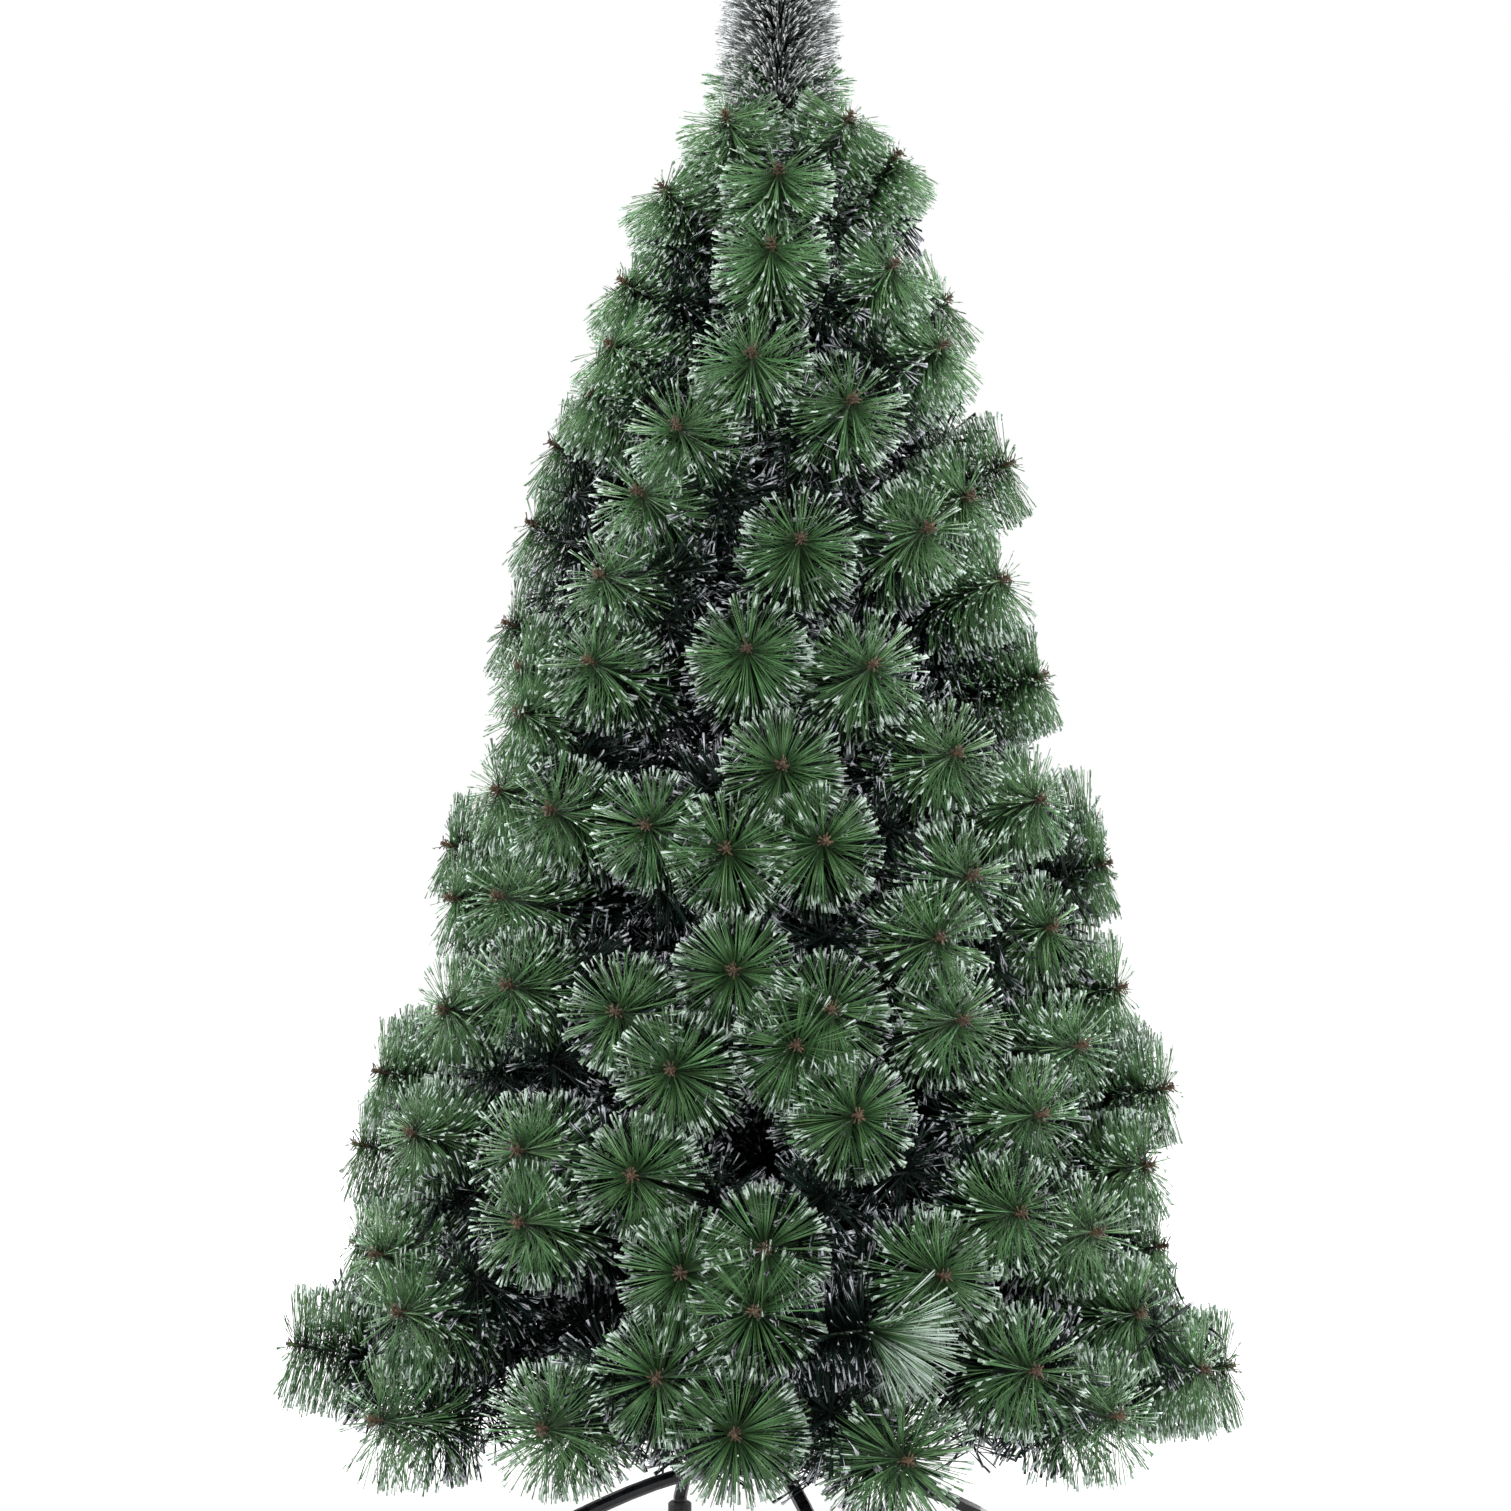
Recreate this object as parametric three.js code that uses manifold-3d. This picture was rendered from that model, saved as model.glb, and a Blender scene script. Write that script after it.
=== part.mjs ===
// Folding artificial tree on a folding steel stand.
// Units are millimetres, +Z is up, the origin is on the floor under the pole and the front faces -Y.
// A turn is an angle in degrees about the pole, 0 at the front and growing towards +X.

import * as THREE from 'three';
import { mergeVertices } from 'three/addons/utils/BufferGeometryUtils.js';
import Module from 'manifold-3d';

// Whole tree
const tree_height = 1800;
const foliage_radius = 490;
const outline_shares = [
  [0.0, 1.0],
  [0.155, 1.0],
  [0.31, 0.865],
  [0.45, 0.715],
  [0.59, 0.57],
  [0.7, 0.465],
  [0.79, 0.355],
  [0.86, 0.262],
  [0.9, 0.185],
  [1.0, 0.06],
];

// Clearances
const fit_gap = 0.3;
const seat_gap = 0.3;
const foliage_gap = 1.2;
const cut_overrun = 4;

// Poles
const pole_diameter = 22;
const pole_wall = 1.6;
const spigot_length = 55;
const lower_pole_top_share = 0.378;
const upper_pole_top_share = 0.69;
const stem_diameter = 9;
const stem_shoulder = 14;
const stem_top_share = 0.89;

// Stand
const socket_wall = 2.4;
const socket_length = 122;
const socket_flange = 52;
const flange_thickness = 4;
const leg_reach = 300;
const leg_height = 146;
const leg_width = 15;
const leg_depth = 14;
const leg_corner = 4;
const leg_eye_wall = 9;
const leg_fold_gap = 1;
const ring_thickness = 5;
const ring_wall = 7;
const cap_diameter = 28;
const cap_height = 30;
const cap_floor = 6;
const cap_round = 4;
const lower_leg_turn = -72;
const upper_leg_turn = 18;

// Shape of a leg from the eye out to the foot, as shares of its reach and height
const leg_run_shares = [
  [0.06, 1.0],
  [0.13, 1.0],
  [0.2, 0.985],
  [0.38, 0.91],
  [0.6, 0.76],
  [0.86, 0.52],
  [0.98, 0.34],
  [1.0, 0.2],
];

// Screw that grips the pole
const screw_turn = 90;
const screw_diameter = 6;
const screw_length = 34;
const screw_drop = 24;
const boss_diameter = 16;
const boss_length = 9;
const knob_diameter = 34;
const knob_thickness = 13;
const knob_lobes = 6;
const knob_lobe_share = 0.16;
const knob_lobe_points = 6;

// Hinge collars, placed by shares of the height between the socket and the tree's top
const collar_diameter = 78;
const collar_height = 26;
const collar_chamfer = 4;
const collar_rise_shares = [0.029, 0.191, 0.35, 0.5245];
const pin_circle = 25;
const pin_diameter = 3.4;
const pin_seat = 4;
const pin_gap = 0.4;
const slot_side_gap = 0.6;

// Branches
const branch_rise = 12;
const rod_diameter = 4;
const eye_diameter = 10.4;
const rod_setback = 150;
const sleeve_wall = 2.4;
const sleeve_start = 14;
const sleeve_end = 6;
const binding_step = 6;

// Wired needle brushes
const brush_radius = 64;
const brush_length_share = 0.249;
const brush_least_radius = 9;
const twig_diameter = 4;
const twig_slant_share = 0.9;
const tip_rise = [
  [0.1, 7],
  [0.45, 13],
  [0.7, 24],
  [0.8, 36],
  [0.9, 54],
];
const brush_profile_shares = [
  [0.42, 1.0],
  [1.0, 0.68],
];
const brush_sides = 5;
const sleeve_sides = 4;
const profile_samples = 10;

// Crown and leader
const crown_sleeve_length = 34;
const leader_radius = 66;
const leader_core = 5;
const leader_bands = 25;
const leader_twist = 23;
const strand_width = 2.2;
const strand_lean = 24;
const core_sides = 6;

// How round things are
const round_sides = 18;
const tube_sides = 16;
const eye_sides = 8;
const small_sides = 6;
const leg_steps = 24;

// Each tier: turn of its first branch, number of branches, and the brushes of its front half as
// [turn, height share, reach share where it isn't 1]. The back half mirrors the front one, apart from
// brushes at the very side.
const side_turn = 88;
const half_turn = 180;
const full_turn = 360;
const tiers = [
  {
    first_turn: 0,
    branches: 6,
    brush_shares: [
      [-90, 0.149, 1.04], [-51, 0.143], [-25, 0.157], [-3, 0.161], [16, 0.147], [45, 0.156], [69, 0.162],
      [-50, 0.202], [-12, 0.187], [33, 0.186], [90, 0.178, 0.93], [-90, 0.212, 0.95], [58, 0.2, 0.95],
      [-58, 0.228], [-32, 0.259], [-10, 0.24], [-1, 0.222], [0, 0.253], [22, 0.238], [47, 0.252],
      [76, 0.226, 0.94], [-90, 0.271], [34, 0.267], [64, 0.28], [90, 0.144, 1.04],
    ],
  },
  {
    first_turn: 30,
    branches: 6,
    brush_shares: [
      [-17, 0.288], [-34, 0.296], [76, 0.319, 1.04], [40, 0.317], [12, 0.321], [-78, 0.321], [-56, 0.296],
      [-13, 0.343], [52, 0.351], [4, 0.357], [-56, 0.365], [-22, 0.372], [73, 0.378], [9, 0.376],
      [29, 0.369], [-42, 0.382], [-5, 0.396],
    ],
  },
  {
    first_turn: 45,
    branches: 4,
    brush_shares: [
      [27, 0.413], [-49, 0.43], [35, 0.446], [84, 0.449, 1.04], [90, 0.474, 1.04], [-90, 0.454],
      [-7, 0.46], [9, 0.465], [-21, 0.472], [-41, 0.479], [57, 0.488], [-58, 0.489], [2, 0.506],
      [36, 0.514], [-72, 0.425, 0.96], [58, 0.415, 0.93], [-57, 0.534],
    ],
  },
  {
    first_turn: 0,
    branches: 4,
    brush_shares: [
      [82, 0.561], [20, 0.562], [-39, 0.563], [-5, 0.57], [-90, 0.589, 1.02], [-62, 0.56], [65, 0.616],
      [-41, 0.613], [6, 0.632], [38, 0.642], [-90, 0.65, 1.04], [-34, 0.66], [90, 0.69, 1.1],
      [-90, 0.698, 1.04], [-26, 0.698], [62, 0.665, 0.95], [21, 0.714], [-66, 0.724],
    ],
  },
];

const crown = [
  { stem_share: 0.72, brush_shares: [[-7, 0.74], [62, 0.754, 1.02], [-62, 0.752]] },
  { stem_share: 0.765, brush_shares: [[90, 0.789, 1.06], [-70, 0.792], [47, 0.799], [-2, 0.805]] },
  { stem_share: 0.84, brush_shares: [[-62, 0.847], [0, 0.851], [76, 0.872, 1.12], [-33, 0.888], [49, 0.891]] },
];

const wasm = await Module();
wasm.setup();

// Colours and finishes
function finish(color, roughness, metalness) {
  return new THREE.MeshStandardMaterial({ color, roughness, metalness });
}

const black_steel = finish(0x16181a, 0.35, 0.6);
const pole_green = finish(0x24402c, 0.45, 0.5);
const collar_green = finish(0x1f3a28, 0.55, 0.0);
const wire_steel = finish(0x4a5a4c, 0.4, 0.7);
const black_rubber = finish(0x101010, 0.8, 0.0);
const knob_black = finish(0x141414, 0.4, 0.0);
const needle_green = finish(0x4a7a4a, 0.7, 0.0);
const needle_dark = finish(0x23282a, 0.7, 0.0);

// Solids
function solid(geometry) {
  const bare = geometry.clone();
  bare.deleteAttribute('normal');
  bare.deleteAttribute('uv');
  const merged = mergeVertices(bare);
  const vertProperties = new Float32Array(merged.attributes.position.array);
  const triVerts = new Uint32Array(merged.index.array);
  return new wasm.Manifold(new wasm.Mesh({ numProp: 3, vertProperties, triVerts }));
}

function geometryOf(body) {
  const { vertProperties, triVerts } = body.getMesh();
  const geometry = new THREE.BufferGeometry();
  geometry.setAttribute('position', new THREE.BufferAttribute(vertProperties, 3));
  geometry.setIndex(new THREE.BufferAttribute(triVerts, 1));
  return geometry;
}

function mesh(name, geometry, material) {
  const made = new THREE.Mesh(geometry, material);
  made.name = name;
  return made;
}

// A revolved solid about +Z from [radius, height] pairs, closed on itself where its first point is repeated.
function revolved(outline, sides = tube_sides) {
  const profile = outline.map(([radius, height]) => new THREE.Vector2(radius, height));
  return new THREE.LatheGeometry(profile, sides).rotateX(Math.PI / 2);
}

function upright(radius, bottom, top, sides = tube_sides) {
  const geometry = new THREE.CylinderGeometry(radius, radius, top - bottom, sides).rotateX(Math.PI / 2);
  return geometry.translate(0, 0, (top + bottom) / 2);
}

// A faceted hole is this wide at its corners where a round thing of the given radius turns in it.
function holeFor(radius, sides) {
  return radius / Math.cos(Math.PI / sides);
}

// Rings of points about a route, joined into one closed skin
function loft(route, radii, sides) {
  const points = [];
  const faces = [];
  const across = new THREE.Vector3(0, 0, 1);
  route.forEach((centre, ring) => {
    const before = route[Math.max(ring - 1, 0)];
    const after = route[Math.min(ring + 1, route.length - 1)];
    const ahead = after.clone().sub(before).normalize();
    across.addScaledVector(ahead, -across.dot(ahead));
    if (across.length() < Number.EPSILON) across.set(ahead.z, ahead.x, ahead.y);
    across.normalize();
    const beside = ahead.clone().cross(across);
    for (let side = 0; side < sides; side += 1) {
      const angle = (2 * Math.PI * side) / sides;
      const point = centre.clone();
      point.addScaledVector(across, radii[ring] * Math.cos(angle));
      point.addScaledVector(beside, radii[ring] * Math.sin(angle));
      points.push(point);
    }
  });
  const last = (route.length - 1) * sides;
  for (let start = 0; start < last; start += sides) {
    for (let side = 0; side < sides; side += 1) {
      const next = (side + 1) % sides;
      faces.push(start + side, start + next, start + sides + side);
      faces.push(start + next, start + sides + next, start + sides + side);
    }
  }
  for (let side = 2; side < sides; side += 1) {
    faces.push(0, side, side - 1);
    faces.push(last, last + side - 1, last + side);
  }
  const geometry = new THREE.BufferGeometry().setFromPoints(points);
  geometry.setIndex(faces);
  return geometry;
}

// Placing
const radians = THREE.MathUtils.degToRad;

function outward(turn) {
  return new THREE.Vector3(Math.sin(radians(turn)), -Math.cos(radians(turn)), 0);
}

function read(table, at) {
  const next = table.findIndex(([place]) => place >= at);
  if (next === 0) return table[0][1];
  if (next < 0) return table[table.length - 1][1];
  const [low, low_value] = table[next - 1];
  const [high, high_value] = table[next];
  return low_value + ((high_value - low_value) * (at - low)) / (high - low);
}

function bothHalves(front) {
  const all = [];
  for (const [turn, share, reach_share = 1] of front) {
    all.push([turn, share, reach_share]);
    if (Math.abs(turn) < side_turn) all.push([half_turn - turn, share, reach_share]);
  }
  return all;
}

function turnBetween(one, other) {
  const apart = (((one - other) % full_turn) + full_turn) % full_turn;
  return Math.min(apart, full_turn - apart);
}

// Heights and radii worked out from the sizes above
const pole_radius = pole_diameter / 2;
const pole_bore = pole_radius - pole_wall;
const spigot_radius = pole_bore - fit_gap;
const socket_bore = pole_radius + fit_gap;
const socket_radius = socket_bore + socket_wall;
const socket_bottom = leg_height - leg_depth / 2 - seat_gap - flange_thickness;
const socket_top = socket_bottom + socket_length;
const lower_pole_top = tree_height * lower_pole_top_share;
const upper_pole_top = tree_height * upper_pole_top_share;
const stem_radius = stem_diameter / 2;
const stem_top = tree_height * stem_top_share;
const upper_leg_rise = leg_depth + leg_fold_gap;
const eye_bore = socket_radius + fit_gap;
const eye_radius = eye_bore + leg_eye_wall;
const upper_eye_top = leg_height + upper_leg_rise + leg_depth / 2;
const bore_bottom = upper_eye_top + seat_gap + ring_thickness;
const pole_bottom = bore_bottom + seat_gap;
const screw_height = socket_top - screw_drop;
const collar_heights = collar_rise_shares.map((share) => socket_top + (tree_height - socket_top) * share);
const collar_radius = collar_diameter / 2;
const rod_radius = rod_diameter / 2;
const sleeve_radius = rod_radius + fit_gap + sleeve_wall;
const rise = radians(branch_rise);
const twig_radius = twig_diameter / 2;
const brush_length = foliage_radius * brush_length_share;

// Stand
function socketTube() {
  const shell = revolved([
    [0, socket_bottom],
    [socket_flange / 2, socket_bottom],
    [socket_flange / 2, socket_bottom + flange_thickness],
    [socket_radius, socket_bottom + flange_thickness],
    [socket_radius, socket_top],
    [socket_bore, socket_top],
    [socket_bore, bore_bottom],
    [0, bore_bottom],
  ]);
  const boss_end = socket_radius + boss_length;
  const boss_radius = boss_diameter / 2;
  const boss = new THREE.CylinderGeometry(boss_radius, boss_radius, boss_end - pole_radius, tube_sides);
  boss.translate(0, (boss_end + pole_radius) / 2, 0);
  const bore_length = boss_end + cut_overrun;
  const bore_radius = holeFor(screw_diameter / 2 + fit_gap, small_sides);
  const bore = new THREE.CylinderGeometry(bore_radius, bore_radius, bore_length, small_sides);
  bore.translate(0, bore_length / 2, 0);
  const place = new THREE.Matrix4().makeRotationZ(radians(screw_turn) + Math.PI);
  place.setPosition(0, 0, screw_height);
  const pole_room = upright(socket_bore, bore_bottom, socket_top + cut_overrun);
  const body = solid(shell)
    .add(solid(boss.applyMatrix4(place)))
    .subtract(solid(pole_room))
    .subtract(solid(bore.applyMatrix4(place)));
  return mesh('socket_tube', geometryOf(body), black_steel);
}

function legSection(grow) {
  const half_width = leg_width / 2 + grow;
  const half_depth = leg_depth / 2 + grow;
  const corner = leg_corner + grow;
  return new THREE.Shape([
    new THREE.Vector2(half_width - corner, -half_depth),
    new THREE.Vector2(half_width, corner - half_depth),
    new THREE.Vector2(half_width, half_depth - corner),
    new THREE.Vector2(half_width - corner, half_depth),
    new THREE.Vector2(corner - half_width, half_depth),
    new THREE.Vector2(-half_width, half_depth - corner),
    new THREE.Vector2(-half_width, corner - half_depth),
    new THREE.Vector2(corner - half_width, -half_depth),
  ]);
}

// The bar runs from foot to foot in its own XZ plane.
function legBar(middle_rise, foot_height, grow) {
  const side = leg_run_shares.map(([reach, height]) => [
    leg_reach * reach,
    leg_height * height + middle_rise * Math.min(1, 2 * (1 - reach)),
  ]);
  side.push([leg_reach, foot_height]);
  const far = side.map(([x, z]) => new THREE.Vector3(x, 0, z));
  const near = side.map(([x, z]) => new THREE.Vector3(-x, 0, z)).reverse();
  const middle = new THREE.Vector3(0, 0, leg_height + middle_rise);
  const extrudePath = new THREE.CatmullRomCurve3([...near, middle, ...far]);
  return new THREE.ExtrudeGeometry(legSection(grow), { steps: leg_steps, extrudePath, curveSegments: 1 });
}

function legPair(name, turn, middle_rise, caps) {
  const pair = new THREE.Group();
  pair.rotation.z = radians(turn) - Math.PI / 2;
  const eye_bottom = leg_height + middle_rise - leg_depth / 2;
  const eye_top = eye_bottom + leg_depth;
  const bar = solid(legBar(middle_rise, cap_floor + seat_gap, 0))
    .add(solid(upright(eye_radius, eye_bottom, eye_top)))
    .subtract(solid(upright(eye_bore, eye_bottom - cut_overrun, eye_top + cut_overrun)));
  pair.add(mesh(name, geometryOf(bar), black_steel));
  const pocket = solid(legBar(middle_rise, cap_floor, fit_gap));
  caps.forEach((cap_name, index) => {
    const place = leg_reach * (index === 0 ? 1 : -1);
    const outer = revolved([
      [0, 0],
      [cap_diameter / 2 - cap_round, 0],
      [cap_diameter / 2, cap_round],
      [cap_diameter / 2, cap_height - cap_round / 2],
      [cap_diameter / 2 - cap_round / 2, cap_height],
      [0, cap_height],
    ]).translate(place, 0, 0);
    pair.add(mesh(cap_name, geometryOf(solid(outer).subtract(pocket)), black_rubber));
  });
  return pair;
}

function retainingRing() {
  const bottom = upper_eye_top + seat_gap;
  const bore = socket_radius + fit_gap;
  const ring = revolved([
    [bore, bottom],
    [bore + ring_wall, bottom],
    [bore + ring_wall, bottom + ring_thickness / 2],
    [bore + ring_wall / 2, bottom + ring_thickness],
    [bore, bottom + ring_thickness],
    [bore, bottom],
  ]);
  return mesh('leg_retaining_ring', ring, black_steel);
}

// The screw lies along its own +Y, with its tip near the pole.
function thumbScrew() {
  const tip = pole_radius + fit_gap;
  const head = tip + screw_length;
  const shank = new THREE.CylinderGeometry(screw_diameter / 2, screw_diameter / 2, screw_length, small_sides);
  shank.translate(0, tip + screw_length / 2, 0);
  const rim = new THREE.Shape();
  const rim_points = knob_lobes * knob_lobe_points;
  for (let step = 0; step < rim_points; step += 1) {
    const angle = (2 * Math.PI * step) / rim_points;
    const wave = 1 - knob_lobe_share * (0.5 - 0.5 * Math.cos(knob_lobes * angle));
    const x = (knob_diameter / 2) * wave * Math.cos(angle);
    const y = (knob_diameter / 2) * wave * Math.sin(angle);
    if (step === 0) rim.moveTo(x, y);
    else rim.lineTo(x, y);
  }
  const knob = new THREE.ExtrudeGeometry(rim, { depth: knob_thickness, bevelEnabled: false, curveSegments: 1 });
  knob.rotateX(-Math.PI / 2).translate(0, head - seat_gap, 0);
  const screw = mesh('thumb_screw', geometryOf(solid(shank).add(solid(knob))), knob_black);
  screw.rotation.z = radians(screw_turn) + Math.PI;
  screw.position.z = screw_height;
  return screw;
}

// Poles
function poleTube(name, bottom, top, spigot) {
  const room = top - spigot_length - cut_overrun;
  const outline = [[0, room], [pole_bore, room], [pole_bore, top], [pole_radius, top], [pole_radius, bottom]];
  if (spigot) {
    outline.push([spigot_radius, bottom], [spigot_radius, bottom - spigot_length], [0, bottom - spigot_length]);
  } else {
    outline.push([0, bottom]);
  }
  return mesh(name, revolved(outline.reverse()), pole_green);
}

function topStem() {
  const bottom = upper_pole_top + seat_gap;
  return mesh(
    'top_stem',
    revolved([
      [0, bottom - spigot_length],
      [spigot_radius, bottom - spigot_length],
      [spigot_radius, bottom],
      [pole_radius, bottom],
      [stem_radius, bottom + stem_shoulder],
      [stem_radius, stem_top],
      [0, stem_top],
    ]),
    pole_green,
  );
}

// Hinge collars and branch rods. A branch lies along its own -Y, its pin along X.
function slotTool() {
  const width = rod_diameter + 2 * slot_side_gap;
  const eye_room = holeFor(eye_diameter / 2 + pin_gap, eye_sides);
  const reach = collar_radius + cut_overrun;
  const slot = new THREE.BoxGeometry(width, reach + eye_room, collar_height);
  slot.translate(0, (eye_room - reach) / 2, collar_height / 2 - rod_radius - seat_gap);
  slot.rotateX(-rise);
  const pocket = new THREE.CylinderGeometry(eye_room, eye_room, width, eye_sides).rotateZ(Math.PI / 2);
  return solid(slot).add(solid(pocket)).translate([0, -pin_circle, 0]);
}

function turned(body, turn) {
  return body.rotate([0, 0, turn]);
}

function hingeCollar(name, turns) {
  const half = collar_height / 2;
  const bore = pole_radius + fit_gap;
  let body = solid(
    revolved([
      [bore, -half],
      [collar_radius - collar_chamfer, -half],
      [collar_radius, collar_chamfer - half],
      [collar_radius, half - collar_chamfer],
      [collar_radius - collar_chamfer, half],
      [bore, half],
      [bore, -half],
    ], round_sides),
  );
  const pin_length = rod_diameter + 2 * (slot_side_gap + pin_seat);
  const pin = new THREE.CylinderGeometry(pin_diameter / 2, pin_diameter / 2, pin_length, small_sides);
  pin.rotateZ(Math.PI / 2).translate(0, -pin_circle, 0);
  const slot = slotTool();
  const held = solid(pin);
  for (const turn of turns) body = body.subtract(turned(slot, turn)).add(turned(held, turn));
  return mesh(name, geometryOf(body), collar_green);
}

function branchRod(name, length) {
  const eye = new THREE.CylinderGeometry(eye_diameter / 2, eye_diameter / 2, rod_diameter, eye_sides);
  const hole_radius = pin_diameter / 2 + pin_gap;
  const hole = new THREE.CylinderGeometry(hole_radius, hole_radius, rod_diameter + cut_overrun, small_sides);
  const rod = new THREE.CylinderGeometry(rod_radius, rod_radius, length, small_sides);
  rod.translate(0, -length / 2, 0);
  const body = solid(eye.rotateZ(Math.PI / 2))
    .add(solid(rod))
    .subtract(solid(hole.rotateZ(Math.PI / 2)))
    .rotate([-branch_rise, 0, 0])
    .translate([0, -pin_circle, 0]);
  return mesh(name, geometryOf(body), wire_steel);
}

// Plan of the foliage: every branch and every brush, in the tree's own frame
const branches = [];
const brushes = [];

function brushAt(turn, share, reach_share) {
  const height = tree_height * share;
  const radius = foliage_radius * reach_share * read(outline_shares, share);
  const tip = outward(turn).multiplyScalar(radius).setZ(height);
  const up = radians(read(tip_rise, share));
  const ahead = outward(turn).multiplyScalar(Math.cos(up)).setZ(Math.sin(up));
  const base = tip.clone().addScaledVector(ahead, -brush_length);
  return { turn, tip, base };
}

tiers.forEach((tier, tier_index) => {
  const height = collar_heights[tier_index];
  const reach = foliage_radius * read(outline_shares, height / tree_height);
  const length = (reach - rod_setback - pin_circle) / Math.cos(rise);
  const own = [];
  for (let index = 0; index < tier.branches; index += 1) {
    const turn = tier.first_turn + (full_turn * index) / tier.branches;
    const way = outward(turn);
    const root = way.clone().multiplyScalar(pin_circle).setZ(height);
    const ahead = way.clone().multiplyScalar(Math.cos(rise)).setZ(Math.sin(rise));
    const end = root.clone().addScaledVector(ahead, length);
    const branch = { tier: tier_index + 1, number: index + 1, turn, height, length, way, root, ahead, end };
    branch.brushes = [];
    own.push(branch);
  }
  for (const [turn, share, reach_share] of bothHalves(tier.brush_shares)) {
    const nearest = own.reduce((a, b) => (turnBetween(b.turn, turn) < turnBetween(a.turn, turn) ? b : a));
    const brush = brushAt(turn, share, reach_share);
    const along = brush.base.dot(nearest.way) - pin_circle;
    const beside = brush.base.clone().cross(nearest.way).setX(0).setY(0).length();
    const most = length * Math.cos(rise) - binding_step;
    const least = collar_radius - pin_circle + sleeve_start + binding_step;
    const place = Math.max(least, Math.min(most, along - twig_slant_share * beside));
    brush.root = nearest.root.clone().addScaledVector(nearest.ahead, place / Math.cos(rise));
    brush.owner = nearest;
    nearest.brushes.push(brush);
    brushes.push(brush);
  }
  branches.push(...own);
});

const crown_parts = crown.map((part) => {
  const height = tree_height * part.stem_share;
  const owner = { height, brushes: [] };
  for (const [turn, share, reach_share] of bothHalves(part.brush_shares)) {
    const brush = brushAt(turn, share, reach_share);
    brush.root = outward(turn).multiplyScalar(stem_radius).setZ(height);
    brush.owner = owner;
    owner.brushes.push(brush);
    brushes.push(brush);
  }
  return owner;
});

// Each brush is as full as its neighbours leave room for.
function pointToLine(point, start, end) {
  const line = new THREE.Line3(start, end);
  return line.closestPointToPoint(point, true, new THREE.Vector3()).distanceTo(point);
}

function fillBrushes() {
  for (const brush of brushes) {
    brush.samples = [];
    for (let step = 1; step <= profile_samples; step += 1) {
      const share = step / profile_samples;
      const place = brush.base.clone().lerp(brush.tip, share);
      brush.samples.push({ place, full: read([[0, 0], ...brush_profile_shares], share) });
    }
    brush.radius = brush_radius;
  }
  const pole_foot = new THREE.Vector3(0, 0, pole_bottom);
  const pole_head = new THREE.Vector3(0, 0, upper_pole_top);
  const stem_head = new THREE.Vector3(0, 0, tree_height);
  for (const brush of brushes) {
    for (const { place, full } of brush.samples) {
      const keep = (distance) => {
        brush.radius = Math.min(brush.radius, (distance - foliage_gap) / full);
      };
      keep(pointToLine(place, pole_foot, pole_head) - pole_radius);
      keep(pointToLine(place, pole_head, stem_head) - stem_radius - fit_gap - sleeve_wall);
      for (const branch of branches) {
        const thickness = branch === brush.owner ? rod_radius : sleeve_radius;
        keep(pointToLine(place, branch.root, branch.end) - thickness);
      }
      for (const other of brushes) {
        if (other === brush) continue;
        if (other.owner !== brush.owner) keep(pointToLine(place, other.root, other.base) - twig_radius);
        for (const sample of other.samples) {
          const room = place.distanceTo(sample.place) - foliage_gap;
          brush.radius = Math.min(brush.radius, room / (full + sample.full));
        }
      }
    }
    brush.radius = Math.max(brush.radius, brush_least_radius);
  }
}

fillBrushes();

function brushSolid(brush) {
  const route = [brush.root, brush.base];
  const radii = [twig_radius, twig_radius];
  for (const [along, full] of brush_profile_shares) {
    route.push(brush.base.clone().lerp(brush.tip, along));
    radii.push(brush.radius * full);
  }
  return solid(loft(route, radii, brush_sides));
}

// Foliage of one branch: the sleeve bound round the rod, its twigs and their brushes
function branchSprays(name, branch) {
  const start = branch.root.clone();
  start.addScaledVector(branch.ahead, (collar_radius - pin_circle + sleeve_start) / Math.cos(rise));
  const end = branch.end.clone().addScaledVector(branch.ahead, sleeve_end);
  let body = solid(loft([start, end], [sleeve_radius, sleeve_radius], sleeve_sides));
  for (const brush of branch.brushes) body = body.add(brushSolid(brush));
  const bore = rod_radius + fit_gap;
  const bore_end = branch.end.clone().addScaledVector(branch.ahead, seat_gap);
  body = body.subtract(solid(loft([branch.root, bore_end], [bore, bore], small_sides)));
  const geometry = geometryOf(body);
  geometry.translate(0, 0, -branch.height).rotateZ(-radians(branch.turn));
  return mesh(name, geometry, needle_green);
}

function crownSprays(name, part) {
  const bore = stem_radius + fit_gap;
  const half = crown_sleeve_length / 2;
  const sleeve = upright(bore + sleeve_wall, part.height - half, part.height + half);
  let body = solid(sleeve);
  for (const brush of part.brushes) body = body.add(brushSolid(brush));
  body = body.subtract(solid(upright(bore, upper_pole_top, tree_height)));
  return mesh(name, geometryOf(body), needle_green);
}

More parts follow.
